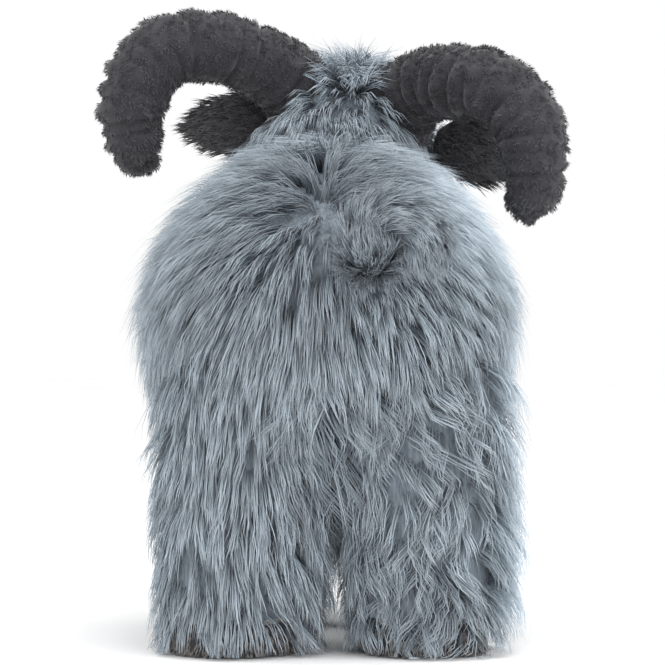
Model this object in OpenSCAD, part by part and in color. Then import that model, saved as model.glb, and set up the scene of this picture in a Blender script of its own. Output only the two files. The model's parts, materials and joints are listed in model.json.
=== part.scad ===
// Stuffed ram sewn from long-wool sheepskin, with shearling horns, ears and muzzle.
// Millimetres, +Z up, nose towards -Y, origin on the floor under the middle of the figure.
// Wool-on skin pieces are closed shells that fill the depth of their standing wool.

/* [Torso] */
// Half length of the torso over the wool
torso_half_length = 212; // [208:1:216]
// Radius of the torso over the wool
torso_radius = 160; // [157:1:162]
// Height of the torso's middle line above the floor
torso_height = 262; // [260:1:265]
// Squareness of the torso's ends, where 2 is an ellipse
torso_power = 2.5; // [2.4:0.1:2.6]
// Depth of the wool on the torso
wool_depth = 40; // [38:1:42]

/* [Legs] */
// Sideways distance of a leg's middle line from the torso's
leg_spread = 76; // [74:1:80]
// Radius of a leg over the wool
leg_wool_radius = 66; // [62:1:67]
// Radius of a leg's stuffing
leg_core_radius = 44; // [42:1:44]
// Height where the leg sleeves end under the flanks
hip_height = 215; // [210:1:218]
// Height of the short-wool hoof cap
hoof_height = 26; // [22:1:30]

/* [Head] */
// Turn of the head towards the ram's right
head_turn_rest = 13; // [10:1:15]
// Lean of the head, left side up
head_lean_rest = 6.5; // [5:0.5:8]
// Downward slope of the nose line
nose_slope = 25; // [22:1:28]
// Depth of the wool on the crown and the cheeks
crown_wool_depth = 36; // [34:1:38]
// Radius of the neck's stuffing
neck_core_radius = 72; // [70:1:74]

/* [Horns and ears] */
// Thickness of the horns' sheared skin with its pile
horn_skin = 11; // [10:1:12]
// Length of an ear from its seam to its tip
ear_length = 90; // [86:1:94]
// Height of an ear at its widest
ear_height = 64; // [60:1:66]

/* [Frame and fittings] */
// Radius of the steel rods of the frame
rod_radius = 4; // [3.5:0.5:4]
// Radius of the wires in the horns
wire_radius = 2.5; // [2:0.25:2.5]
// Radius of an eye's dome
eye_radius = 8; // [7.5:0.5:8]

/* [Hidden] */
$fn = 64;
left = 1;
right = -1;
fit_gap = 0.3;          // free gap between bodies that move past each other
rod_clearance = 0.06;   // running clearance of the neck rod in the head
// Moves the figure so that its box stands centred on the origin
stand_shift = [0.95, 32.87, 0];

torso_y = 40;
hind_leg_y = 150;
front_leg_y = -72;
profile_steps = 24;
core_half_length = torso_half_length - wool_depth;
core_radius = torso_radius - wool_depth;

spine_corner = -145;    // place of the spine's corner on the neck's middle line
weld_radius = 1.4 * rod_radius;
hind_hoop_y = hind_leg_y - 10;
front_hoop_y = front_leg_y + 28;

// The neck's middle line runs up and forward through the neck seam
neck_seam = [0, -160, 355];
neck_slope = 45;
neck_reach = 150;
mane_base_radius = 120;
mane_seam_radius = 112;
mane_top_radius = 100;

// The head, before it is turned on the neck
skull = [0, -212, 402];
muzzle_start = 46;
muzzle_pile = 8;
// Stuffed head: radius and place along the nose line, counted from the skull's middle
head_outline = [[0, -70], [34, -64], [58, -40], [68, -5], [64, 30], [52, 62], [43, 92], [37, 118], [23, 134], [0, 139]];

// Both horns leave the head alike, and then each soft horn has its own bend: places with the radius over the pile,
// where the right horn is mirrored
horn_start = [[38.5, -208, 440, 39], [47, -197, 468, 39]];
left_horn_bend = [
    [76, -168, 487, 36], [110, -132, 497, 35], [146, -107, 492, 35], [168, -97, 468, 35], [176, -96, 438, 34],
    [175, -102, 412, 30], [170, -109, 396, 26], [164, -114, 384, 18], [161, -116, 378, 8]
];
right_horn_bend = [
    [77, -168, 485, 36], [113, -132, 488, 36], [151, -107, 483, 35], [179, -97, 460, 34], [191, -96, 431, 33],
    [192, -102, 406, 29], [188, -109, 391, 25], [183, -114, 379, 17], [180, -116, 374, 8]
];
function horn_line(side) = concat(horn_start, side > 0 ? left_horn_bend : right_horn_bend);
horn_sides = 16;
horn_rings_per_point = 3;
horn_root_radius = horn_start[0][3];
horn_root = [for (k = [0:2]) horn_start[0][k]];
horn_root_way = [for (k = [0:2]) horn_start[1][k] - horn_start[0][k]];

ear_seam = [74, -230.5, 438];
ear_droop = 8;
ear_back_thickness = 8;
ear_lining_thickness = 6;

// The tail's stem leaves the rump here; beyond it the tail bends over to the right and hangs
tail_root = [-32, 211, 316];
tail_stem_length = 50;
tail_bend_radius = 21.5;
tail_outer_radius = 19.5;
tail_core_radius = 12;
tail_curl = 185;
tail_lean = 20;

foot_board_thickness = 3;
hoof_sole = 8;

// ---------------------------------------------------------------- shared shapes

module figure() { translate(stand_shift) children(); }

// Everything that belongs to the head, turned and leant on the neck seam
module on_head() {
    translate(neck_seam) rotate([0, -head_lean_rest, -head_turn_rest]) translate(-neck_seam) children();
}

module mirrored(side) { scale_x = side; if (scale_x > 0) children(); else mirror([1, 0, 0]) children(); }

// A straight rod between two points
module rod(a, b, r) {
    d = b - a;
    translate(a) rotate([0, acos(d[2] / norm(d)), atan2(d[1], d[0])]) cylinder(h = norm(d), r = r);
}

// Points of half a squared ellipse, from its front pole to its back pole
function half_oval(r, l, power) = [
    for (i = [0:profile_steps]) let (t = 180 * i / profile_steps)
        [i % profile_steps == 0 ? 0 : r * pow(sin(t), 2 / power), l * sign(cos(t)) * pow(abs(cos(t)), 2 / power)]
];

function reversed(list) = [for (i = [len(list) - 1:-1:0]) list[i]];

// Smooth value through a list of points, for a share t between p1 and p2
function blend_points(p0, p1, p2, p3, t) =
    0.5 * (2 * p1 + (p2 - p0) * t + (2 * p0 - 5 * p1 + 4 * p2 - p3) * t * t + (3 * p1 - 3 * p2 + p3 - p0) * t * t * t);

// A finer line through a list of points
function smooth_line(points, steps) = let (last = len(points) - 1) [
    for (i = [0:last - 1]) for (k = [0:steps - 1])
        blend_points(points[max(i - 1, 0)], points[i], points[i + 1], points[min(i + 2, last)], k / steps),
    points[last]
];

// Turns an outline of [radius, height] points about a line along -Y
module turned_along_body(points, from = 0, sweep = 360) {
    rotate([90, 0, 0]) rotate([0, 0, from]) rotate_extrude(angle = sweep) polygon(points);
}

// ---------------------------------------------------------------- torso

module torso_form(r, l, from = 0, sweep = 360) {
    translate([0, torso_y, torso_height]) turned_along_body(half_oval(r, l, torso_power), from, sweep);
}

module torso_core() { torso_form(core_radius, core_half_length); }

// The skin and wool of the torso between two angles, counted from the left side over the back
module torso_shell(from, sweep) {
    outer = half_oval(torso_radius, torso_half_length, torso_power);
    inner = half_oval(core_radius, core_half_length, torso_power);
    translate([0, torso_y, torso_height])
        turned_along_body(concat(outer, reversed(inner)), from, sweep);
}

// Upright strips where the rump and chest panels are let in; the rump's right seam runs down the haunch
module rump_strip() { translate([-112, torso_y + 110, 60]) cube([198, 150, 270]); }
module chest_strip() { translate([-86, torso_y - 270, 60]) cube([172, 160, 230]); }

module neck_core(from, to, r = neck_core_radius) {
    rod(neck_point(from), neck_point(to), r);
}

// A point on the neck's middle line, measured from the seam towards the head
function neck_point(s) = neck_seam + s * [0, -cos(neck_slope), sin(neck_slope)];

module leg_outlines(places) {
    for (side = [left, right]) for (y = places)
        translate([side * leg_spread, y, 0]) cylinder(h = hip_height, r = leg_wool_radius);
}

module tail_pocket() { rod(tail_root - [0, 30, 0], tail_root + [0, 60, 0], tail_outer_radius + 6); }

module torso_openings() {
    leg_outlines([hind_leg_y, front_leg_y]);
    neck_core(-neck_reach, 10);
    tail_pocket();
}

module left_flank_panel() {
    figure() color("#8c97a1") difference() {
        torso_shell(-40, 130);
        rump_strip();
        chest_strip();
        torso_openings();
    }
}

module right_flank_panel() {
    figure() color("#a4abb1") difference() {
        torso_shell(90, 130);
        rump_strip();
        chest_strip();
        torso_openings();
    }
}

module belly_panel() {
    figure() color("#79838c") difference() {
        torso_shell(220, 100);
        rump_strip();
        chest_strip();
        torso_openings();
    }
}

module rump_panel() {
    figure() color("#727c83") difference() {
        intersection() { torso_form(torso_radius, torso_half_length); rump_strip(); }
        torso_core();
        leg_outlines([hind_leg_y]);
        tail_pocket();
    }
}

module chest_panel() {
    figure() color("#8c97a1") difference() {
        intersection() { torso_form(torso_radius, torso_half_length); chest_strip(); }
        torso_core();
        leg_outlines([front_leg_y]);
        neck_core(-neck_reach, 10);
    }
}

// ---------------------------------------------------------------- steel frame

// The spine runs level to a welded corner, and from there up the neck into the head
module spine_form() {
    corner = neck_point(spine_corner);
    rod([0, torso_y + 120, corner[2]], corner, rod_radius);
    translate(corner) sphere(weld_radius);
    rod(corner, neck_point(62), rod_radius);
}

// One rod that lies across the spine, with welded corners and an end down each leg of a pair
module hoop_form(y) {
    z = neck_point(spine_corner)[2] + 2 * rod_radius + 0.05;
    rod([-leg_spread, y, z], [leg_spread, y, z], rod_radius);
    for (side = [left, right]) {
        translate([side * leg_spread, y, z]) sphere(weld_radius);
        rod([side * leg_spread, y, hoof_sole + foot_board_thickness], [side * leg_spread, y, z], rod_radius);
    }
}

module spine_and_neck_rod() { figure() color("#a9adb0") spine_form(); }
module hind_leg_hoop() { figure() color("#a9adb0") hoop_form(hind_hoop_y); }
module front_leg_hoop() { figure() color("#a9adb0") hoop_form(front_hoop_y); }

// Room for the rods in the stuffing
module frame_holes() {
    spine_form();
    hoop_form(hind_hoop_y);
    hoop_form(front_hoop_y);
}

module torso_stuffing() { figure() color("#efece4") difference() { torso_core(); frame_holes(); } }

module neck_stuffing() {
    figure() color("#efece4") difference() {
        neck_core(-neck_reach, -fit_gap / 2);
        torso_core();
        frame_holes();
    }
}

// ---------------------------------------------------------------- mane, up to the neck seam

module mane(side) {
    figure() color("#7f8a93") difference() {
        rod_cone(neck_point(-neck_reach), neck_point(-fit_gap / 2), mane_base_radius, mane_seam_radius);
        neck_core(-neck_reach - 10, 10);
        torso_form(torso_radius, torso_half_length);
        leg_outlines([front_leg_y]);
        translate([side > 0 ? -400 : 0, -500, 0]) cube([400, 900, 700]);
    }
}

module rod_cone(a, b, r1, r2) {
    d = b - a;
    translate(a) rotate([0, acos(d[2] / norm(d)), atan2(d[1], d[0])]) cylinder(h = norm(d), r1 = r1, r2 = r2);
}

module left_mane_panel() { mane(left); }
module right_mane_panel() { mane(right); }

// ---------------------------------------------------------------- legs and feet

module leg_sleeve(side, y) {
    bottom = 8;
    outline = [
        [leg_core_radius + 6, bottom], [leg_wool_radius - 1, bottom], [leg_wool_radius, bottom + 12],
        [leg_wool_radius - 2, 70], [leg_wool_radius - 4, 110], [leg_wool_radius - 0.5, 165],
        [leg_wool_radius - 0.5, hip_height], [leg_core_radius, hip_height],
        [leg_core_radius, hoof_height], [leg_core_radius + 6, hoof_height]
    ];
    figure() color("#84909a") difference() {
        translate([side * leg_spread, y, 0]) rotate_extrude() polygon(outline);
        torso_core();
    }
}

module leg_stuffing(side, y) {
    figure() color("#efece4") difference() {
        translate([side * leg_spread, y, hoof_sole + foot_board_thickness])
            cylinder(h = hip_height - hoof_sole - foot_board_thickness, r = leg_core_radius);
        torso_core();
        frame_holes();
    }
}

// Stiff board that keeps the sole flat
module foot_board(side, y) {
    figure() color("#b0966f")
        translate([side * leg_spread, y, hoof_sole]) cylinder(h = foot_board_thickness, r = leg_core_radius);
}

// Short-wool cup under the foot, with a rounded lower edge
module hoof_cap(side, y) {
    outline = [
        [0, 0], [leg_core_radius, 0], [leg_core_radius + 3, 1], [leg_core_radius + 5, 3], [leg_core_radius + 6, 7],
        [leg_core_radius + 6, hoof_height], [leg_core_radius, hoof_height], [leg_core_radius, hoof_sole], [0, hoof_sole]
    ];
    figure() color("#7d7b79") translate([side * leg_spread, y, 0]) rotate_extrude() polygon(outline);
}

// ---------------------------------------------------------------- tail

// A curled stub: a stem out of the rump, then part of a ring that rises and falls to the right, with a full tip
module tail_form(r) {
    turn = tail_root + [0, tail_stem_length, 0];
    rod(tail_root, turn, r - 2);
    translate(turn) sphere(1.03 * r, $fn = 40);
    translate(turn) rotate([0, tail_lean, 0]) translate([-tail_bend_radius, 0, 0]) rotate([90, 0, 0]) {
        rotate_extrude(angle = tail_curl, $fn = 48) translate([tail_bend_radius, 0]) circle(r, $fn = 40);
        rotate([0, 0, tail_curl]) translate([tail_bend_radius, 0, 0]) sphere(1.15 * r, $fn = 40);
    }
}

module tail_skin() { figure() color("#5f656c") difference() { tail_form(tail_outer_radius); tail_form(tail_core_radius); } }
module tail_stuffing() { figure() color("#efece4") tail_form(tail_core_radius); }

// ---------------------------------------------------------------- head

// Turns an outline about the nose line
module turned_on_nose_line(points, from = 0, sweep = 360) {
    translate(skull) rotate([nose_slope, 0, 0]) turned_along_body(points, from, sweep);
}

function head_core_outline() = smooth_line(head_outline, 4);
function grown(points, by) = [
    for (i = [0:len(points) - 1]) i == 0 ? [0, points[i][1] - by] :
        i == len(points) - 1 ? [0, points[i][1] + by] :
            let (d = points[i + 1] - points[i - 1], n = [d[1], -d[0]] / norm(d)) [max(points[i][0] + by * n[0], 0), points[i][1] + by * n[1]]
];

module skull_form(by = 0) { turned_on_nose_line(by == 0 ? head_core_outline() : grown(head_core_outline(), by)); }

// The side of the neck seam that turns with the head
module head_side() {
    intersection() {
        children();
        translate(neck_point(fit_gap / 2)) rotate([neck_slope, 0, 0]) translate([-300, -300, 0]) cube(600);
    }
}

module front_of_muzzle_line() {
    translate(skull) rotate([nose_slope, 0, 0]) translate([-150, -300 - muzzle_start, -150]) cube([300, 300, 300]);
}

// Room for the roots of both horns, which stand flat on the bottoms of their sockets
module horn_clearance() {
    for (side = [left, right]) mirrored(side) {
        a = xyz(horn_line(side)[1]);
        b = xyz(horn_line(side)[2]);
        rod(horn_root, horn_root + 3 * horn_root_way, horn_root_radius + 3);
        rod(a, b + 0.65 * (b - a), horn_root_radius + 3.5);
    }
}

function xyz(p) = [p[0], p[1], p[2]];

module ear_pocket() {
    for (side = [left, right]) mirrored(side)
        translate(ear_seam + [0, 0, -ear_height / 2 - 12]) cylinder(h = ear_height + 24, r = 47);
}

eye_place = [47, -283, 411];
eye_way = [0.73, -0.55, 0.406];

module head_stuffing() {
    figure() color("#efece4") difference() {
        union() {
            head_side() on_head() skull_form();
            difference() { neck_core(fit_gap / 2, 60); on_head() front_of_muzzle_line(); }
        }
        neck_core(-5, 62.5, rod_radius + rod_clearance);
        on_head() {
            horn_clearance();
            for (side = [left, right]) mirrored(side)
                rod(horn_root - 0.9 * horn_root_way, horn_root + 0.1 * horn_root_way, wire_radius + 0.1);
            eye_forms(0.05);
            eye_washer_forms(0.1);
        }
    }
}

// Skin and wool of the crown and the cheeks, back to the neck seam
module crown_coat() {
    difference() {
        head_side() union() {
            on_head() difference() { skull_form(crown_wool_depth); front_of_muzzle_line(); }
            rod_cone(neck_point(0), neck_point(58), mane_seam_radius - 1, mane_top_radius);
        }
        on_head() { skull_form(); front_of_muzzle_line(); horn_clearance(); ear_pocket(); }
        neck_core(-5, 60);
    }
}

module poll_block() { translate([-30, skull[1] - 40, skull[2] + 20]) cube([60, 100, 120]); }

module cheek_panel(side) {
    figure() color("#7f8a93") difference() {
        crown_coat();
        on_head() {
            translate([side > 0 ? -400 : 0, -600, 0]) cube([400, 900, 800]);
            poll_block();
        }
    }
}

module left_cheek_panel() { cheek_panel(left); }
module right_cheek_panel() { cheek_panel(right); }
module poll_tuft() { figure() color("#6f7881") intersection() { crown_coat(); on_head() poll_block(); } }

module muzzle_skin() {
    outline = grown(head_core_outline(), muzzle_pile);
    figure() color("#46464b") on_head() difference() {
        intersection() { turned_on_nose_line(outline); front_of_muzzle_line(); }
        skull_form();
        eye_forms(0.05);
        nose_form(0);
    }
}

// Padded leather nose let into the front of the muzzle
module nose_form(by = 0) {
    translate(skull) rotate([nose_slope, 0, 0]) translate([0, -140, 12]) rotate([90 - 14, 0, 0])
        translate([0, 0, -6]) cylinder(h = 12, r = 15 + by);
}

module nose_patch() { figure() color("#2a2628") on_head() difference() { nose_form(0); skull_form(); } }

mouth_radius = 38;

// Thick thread laid along the mouth, outside the muzzle's pile
module mouth_stitch() {
    figure() color("#1f1d1f") on_head() difference() {
        translate(skull) rotate([nose_slope, 0, 0]) translate([0, -131, 0]) rotate([90, 0, 0])
            rotate([0, 0, 215]) rotate_extrude(angle = 110) translate([mouth_radius, 0]) circle(2, $fn = 24);
        turned_on_nose_line(grown(head_core_outline(), muzzle_pile));
    }
}

// Round eye, half sunk in the short pile, with the shank that the washer grips
module eye_form(extra) {
    translate(eye_place) sphere(eye_radius + extra);
    rod(eye_place - 19 * eye_way, eye_place, 2.5 + extra);
}

module eye_forms(extra) { for (side = [left, right]) mirrored(side) eye_form(extra); }

module eye(side) { figure() color("#141414") on_head() mirrored(side) eye_form(0); }

module eye_washer_forms(extra) {
    for (side = [left, right]) mirrored(side)
        rod(eye_place - (16 + extra) * eye_way, eye_place - (14 - extra) * eye_way, 8 + extra);
}

module eye_washers() {
    figure() color("#e8e6e0") on_head() difference() { eye_washer_forms(0); eye_forms(0.05); }
}

// ---------------------------------------------------------------- horns

function ring_frame(way) = let (u = cross(way, [0, 1, 0]) / norm(cross(way, [0, 1, 0]))) [u, cross(way, u)];

// A tube through the points of a line, each with its radius, as one closed polyhedron
module swept(line, sides) {
    n = len(line);
    rings = [
        for (i = [0:n - 1]) let (
            a = xyz(line[max(i - 1, 0)]), b = xyz(line[min(i + 1, n - 1)]),
            way = (b - a) / norm(b - a), frame = ring_frame(way)
        ) for (k = [0:sides - 1]) let (t = 360 * k / sides)
            xyz(line[i]) + line[i][3] * (cos(t) * frame[0] + sin(t) * frame[1])
    ];
    walls = [
        for (i = [0:n - 2]) for (k = [0:sides - 1])
            let (k2 = (k + 1) % sides, a = i * sides + k, b = a + sides, c = (i + 1) * sides + k2, d = i * sides + k2)
                for (face = [[a, b, c], [a, c, d]]) face
    ];
    ends = [[for (k = [0:sides - 1]) k], [for (k = [sides - 1:-1:0]) (n - 1) * sides + k]];
    polyhedron(points = rings, faces = concat(walls, ends));
}

// The root is straight, so that its end lies flat in the socket
function horn_smooth(side) = let (line = horn_line(side))
    concat([line[0]], smooth_line([for (i = [1:len(line) - 1]) line[i]], horn_rings_per_point));
function thinner(line, by) = [for (p = line) [p[0], p[1], p[2], p[3] - by]];
function horn_core_line(side) = [for (p = thinner(horn_smooth(side), horn_skin)) if (p[3] > 8) p];
function before_root(share, radius) = [for (k = [0:3]) k == 3 ? radius : horn_root[k] - share * horn_root_way[k]];
function horn_wire_line(side) = let (core = horn_core_line(side)) concat(
    [before_root(0.8, wire_radius)], [for (i = [0:2:len(core) - 6]) [core[i][0], core[i][1], core[i][2], wire_radius]]
);
// The core's line with its root drawn back, so that it opens the skin's root end
function horn_bore_line(side) = let (core = horn_core_line(side)) concat([before_root(0.3, core[0][3])], core);

module horn_skin_piece(side) {
    figure() color("#434348") on_head() mirrored(side)
        difference() {
            swept(horn_smooth(side), horn_sides);
            swept(thinner(horn_bore_line(side), -0.05), horn_sides);
            ear_notch();
        }
}

module horn_stuffing(side) {
    figure() color("#efece4") on_head() mirrored(side)
        difference() { swept(horn_core_line(side), horn_sides); swept(thinner(horn_wire_line(side), -0.1), 8); }
}

module horn_wire(side) { figure() color("#a9adb0") on_head() mirrored(side) swept(horn_wire_line(side), 8); }

// ---------------------------------------------------------------- ears

// Room in the horn's pile for the root of the ear below it
module ear_notch() { translate(ear_seam - [0, 0, 40]) cylinder(h = 80, r = ear_back_thickness + 2.6); }

// Leaf outline in the ear's own plane: seam at the origin, tip along +X
function leaf() = [
    for (i = [0:12]) let (t = i / 12) [ear_length * t, ear_height / 2 * (0.32 + 0.68 * sin(180 * pow(t, 0.8))) * sqrt(1 - pow(t, 6))],
    for (i = [11:-1:0]) let (t = i / 12) [ear_length * t, -ear_height / 2 * (0.32 + 0.68 * sin(180 * pow(t, 0.8))) * sqrt(1 - pow(t, 6))]
];

module ear_sheet(side, front, thickness) {
    figure() on_head() mirrored(side) translate(ear_seam) rotate([0, ear_droop, 0])
        rotate([90, 0, 0]) translate([0, 0, front]) linear_extrude(thickness) polygon(leaf());
}

module ear_back(side) { color("#3a3a3e") ear_sheet(side, -ear_back_thickness, ear_back_thickness); }
module ear_lining(side) { color("#6a6468") ear_sheet(side, 0, ear_lining_thickness); }

// ---------------------------------------------------------------- nodes

spine_and_neck_rod();
hind_leg_hoop();
front_leg_hoop();
torso_stuffing();
neck_stuffing();
left_flank_panel();
right_flank_panel();
belly_panel();
rump_panel();
chest_panel();
left_mane_panel();
right_mane_panel();
leg_sleeve(left, hind_leg_y);  // left_hind_leg_sleeve
leg_sleeve(right, hind_leg_y);  // right_hind_leg_sleeve
leg_sleeve(left, front_leg_y);  // left_front_leg_sleeve
leg_sleeve(right, front_leg_y);  // right_front_leg_sleeve
leg_stuffing(left, hind_leg_y);  // left_hind_leg_stuffing
leg_stuffing(right, hind_leg_y);  // right_hind_leg_stuffing
leg_stuffing(left, front_leg_y);  // left_front_leg_stuffing
leg_stuffing(right, front_leg_y);  // right_front_leg_stuffing
foot_board(left, hind_leg_y);  // left_hind_foot_board
foot_board(right, hind_leg_y);  // right_hind_foot_board
foot_board(left, front_leg_y);  // left_front_foot_board
foot_board(right, front_leg_y);  // right_front_foot_board
hoof_cap(left, hind_leg_y);  // left_hind_hoof_cap
hoof_cap(right, hind_leg_y);  // right_hind_hoof_cap
hoof_cap(left, front_leg_y);  // left_front_hoof_cap
hoof_cap(right, front_leg_y);  // right_front_hoof_cap
tail_skin();
tail_stuffing();
head_stuffing();
left_cheek_panel();
right_cheek_panel();
poll_tuft();
muzzle_skin();
nose_patch();
mouth_stitch();
eye(left);  // left_eye
eye(right);  // right_eye
eye_washers();
horn_skin_piece(left);  // left_horn_skin
horn_skin_piece(right);  // right_horn_skin
horn_stuffing(left);  // left_horn_stuffing
horn_stuffing(right);  // right_horn_stuffing
horn_wire(left);  // left_horn_wire
horn_wire(right);  // right_horn_wire
ear_back(left);  // left_ear_back
ear_back(right);  // right_ear_back
ear_lining(left);  // left_ear_lining
ear_lining(right);  // right_ear_lining
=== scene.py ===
"""A stuffed ram of long-wool sheepskin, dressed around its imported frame.

Every skin is a round form swept along a line: torso, neck, legs, head, horns, ears and tail. The hides are
padded meshes of those forms, and the wool is modelled as closed, tapering locks that grow out of the hides.
"""

import json
import logging
import math
from dataclasses import dataclass, field, replace
from enum import Enum
from typing import Callable

import bpy
import numpy as np
from mathutils import Matrix, Vector


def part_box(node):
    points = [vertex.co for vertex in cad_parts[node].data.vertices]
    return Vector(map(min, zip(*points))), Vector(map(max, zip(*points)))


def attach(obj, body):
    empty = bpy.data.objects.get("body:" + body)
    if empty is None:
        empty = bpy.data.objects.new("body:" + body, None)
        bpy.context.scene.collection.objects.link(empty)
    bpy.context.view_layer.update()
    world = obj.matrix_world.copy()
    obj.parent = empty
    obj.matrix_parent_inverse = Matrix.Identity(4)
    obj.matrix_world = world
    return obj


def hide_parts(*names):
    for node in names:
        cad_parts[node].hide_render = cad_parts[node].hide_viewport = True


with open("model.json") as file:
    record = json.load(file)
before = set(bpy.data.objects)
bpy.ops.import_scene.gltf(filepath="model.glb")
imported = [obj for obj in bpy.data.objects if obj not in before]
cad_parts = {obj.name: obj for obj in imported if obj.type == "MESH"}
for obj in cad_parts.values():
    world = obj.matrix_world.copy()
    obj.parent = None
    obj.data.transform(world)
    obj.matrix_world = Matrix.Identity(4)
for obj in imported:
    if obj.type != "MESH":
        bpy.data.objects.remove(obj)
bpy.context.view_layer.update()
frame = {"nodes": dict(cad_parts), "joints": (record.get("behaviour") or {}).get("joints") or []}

LOG = logging.getLogger("ram")
MM = 0.001
DOWN = np.array([0.0, 0.0, -1.0])
TONE_MAP = "OFBake"  # the map that holds a lock's tone across and its place from root to tip along

Array = np.ndarray


# ---------------------------------------------------------------- small tools


def srgb(code: str, alpha: float = 1.0) -> tuple[float, float, float, float]:
    """Turns an sRGB hex colour into the linear values that the shader takes.

    Args:
        code: Colour such as "#7f8a93".
        alpha: Fourth value of the result.

    Returns:
        Linear red, green, blue and alpha.
    """
    parts = [int(code[i : i + 2], 16) / 255 for i in (1, 3, 5)]
    linear = [c / 12.92 if c <= 0.04045 else ((c + 0.055) / 1.055) ** 2.4 for c in parts]
    return (*linear, alpha)


def unit(vectors: Array) -> Array:
    """Returns the vectors, along the last axis, at length one."""
    return vectors / np.maximum(np.linalg.norm(vectors, axis=-1, keepdims=True), 1e-9)


def smooth_steps(values: Array, low: float, high: float) -> Array:
    """Returns 0 below low, 1 above high and an even S-shaped rise between."""
    t = np.clip((values - low) / (high - low), 0.0, 1.0)
    return t * t * (3 - 2 * t)


def ripple(points: Array, size: float, seed: int) -> Array:
    """Gives a soft wandering value from -1 to 1 at each point.

    Args:
        points: Places, n by 3.
        size: Distance over which the value changes.
        seed: Start of the random waves.

    Returns:
        One value per point.
    """
    rng = np.random.default_rng(seed)
    total = np.zeros(len(points))
    for _ in range(6):
        way = unit(rng.normal(size=3)) * rng.uniform(0.6, 1.6) * 2 * math.pi / size
        total += np.sin(points @ way + rng.uniform(0, 2 * math.pi))
    return total / 3.2


def drift(points: Array, size: float, seeds: tuple[int, int, int]) -> Array:
    """Gives a soft wandering direction at each point, from three ripples."""
    return np.stack([ripple(points, size, seed) for seed in seeds], axis=1)


def curve_through(points: Array, steps: int) -> Array:
    """Runs a smooth line through points, with any further columns smoothed alike.

    Args:
        points: Rows to pass through.
        steps: New rows for each stretch.

    Returns:
        The finer rows.
    """
    padded = np.vstack([points[:1], points, points[-1:]])
    rows = []
    for a, b, c, d in zip(padded[:-3], padded[1:-2], padded[2:-1], padded[3:]):
        for t in np.arange(steps) / steps:
            rows.append(
                0.5 * (2 * b + (c - a) * t + (2 * a - 5 * b + 4 * c - d) * t**2 + (3 * b - 3 * c + d - a) * t**3)
            )
    return np.array(rows + [points[-1]])


def joint_place(name: str) -> Array:
    """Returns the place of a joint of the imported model."""
    return np.array(next(j for j in frame["joints"] if j["name"] == name)["pos_m"], float)


def box_of(node: str) -> tuple[Array, Array]:
    """Returns a CAD node's lowest and highest corners."""
    low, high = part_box(node)
    return np.array(low), np.array(high)


# ---------------------------------------------------------------- finishes


def add_node(tree: bpy.types.NodeTree, kind: str, settings: dict | None = None, **links) -> bpy.types.Node:
    """Adds one shader node with its settings and links.

    Args:
        tree: The material's node tree.
        kind: Node type, such as "ShaderNodeTexNoise".
        settings: Node attributes, or input values where the key is an input's name.
        **links: Input name, with underscores for spaces, and the socket that feeds it.

    Returns:
        The new node.
    """
    node = tree.nodes.new(kind)
    for key, value in (settings or {}).items():
        if hasattr(node, key):
            setattr(node, key, value)
        else:
            node.inputs[int(key) if key.isdigit() else key].default_value = value
    for key, socket in links.items():
        name = key.replace("_", " ").strip()
        tree.links.new(socket, node.inputs[int(name) if name.isdigit() else name])
    return node


def colour_ramp(
    tree: bpy.types.NodeTree, fac: bpy.types.NodeSocket, stops: list[tuple[float, str]]
) -> bpy.types.NodeSocket:
    """Adds a colour ramp with the given stops, fed by fac, and returns its colour socket."""
    node = add_node(tree, "ShaderNodeValToRGB", Fac=fac)
    elements = node.color_ramp.elements
    while len(elements) < len(stops):
        elements.new(0.5)
    for element, (place, code) in zip(elements, stops):
        element.position = place
        element.color = srgb(code)
    return node.outputs["Color"]


def new_material(name: str) -> tuple[bpy.types.Material, bpy.types.NodeTree, bpy.types.Node]:
    """Makes a material and returns it with its tree and its Principled shader."""
    material = bpy.data.materials.new(name)
    material.use_nodes = True
    return material, material.node_tree, material.node_tree.nodes["Principled BSDF"]


@dataclass(frozen=True)
class Wool:
    """Dyed sheep's wool: rough scaly fibres in locks, painted darker at the roots as the shade deep between the
    locks, and lighter towards the tips.
    """

    name: str
    # The root colour is painted shade: deep down at their roots the locks shade each other
    root: str
    middle: str
    tip: str
    roughness: float = 0.8
    sheen: float = 0.1

    def make(self) -> bpy.types.Material:
        """Builds the wool from the tone map: tone across, and root to tip along, with painted shade towards the
        roots.
        """
        material, tree, shader = new_material(self.name)
        place = add_node(tree, "ShaderNodeUVMap", {"uv_map": TONE_MAP})
        split = add_node(tree, "ShaderNodeSeparateXYZ", Vector=place.outputs["UV"])
        # Painted shade: the ramp darkens each lock from its tip down to its root, where the locks shade each other
        along = colour_ramp(
            tree, split.outputs["Y"], [(0.0, self.root), (0.45, self.middle), (0.8, self.tip), (1.0, self.tip)]
        )
        # Several fibres to a lock, so each lock is streaked along its length
        stretch = add_node(
            tree, "ShaderNodeMapping", {"Scale": (FIBRES_PER_TONE, 1.5, 1.0)}, Vector=place.outputs["UV"]
        )
        fibres = add_node(tree, "ShaderNodeTexNoise", {"Scale": 1.0, "Detail": 1.0}, Vector=stretch.outputs[0])
        streak = add_node(
            tree, "ShaderNodeMapRange", {"From Min": 0.3, "From Max": 0.7, "To Min": 0.84, "To Max": 1.16},
            Value=fibres.outputs["Fac"],
        )
        tone = add_node(
            tree, "ShaderNodeMapRange", {"To Min": 0.45, "To Max": 1.75}, Value=split.outputs["X"]
        )
        factors = {"0": streak.outputs[0], "1": tone.outputs[0]}
        both = add_node(tree, "ShaderNodeMath", {"operation": "MULTIPLY"}, **factors)
        tinted = add_node(tree, "ShaderNodeHueSaturation", Color=along, Value=both.outputs[0])
        tree.links.new(tinted.outputs["Color"], shader.inputs["Base Color"])
        shader.inputs["Roughness"].default_value = self.roughness
        shader.inputs["Specular IOR Level"].default_value = 0.3
        shader.inputs["Sheen Weight"].default_value = self.sheen
        shader.inputs["Sheen Roughness"].default_value = 0.4
        return material


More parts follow.
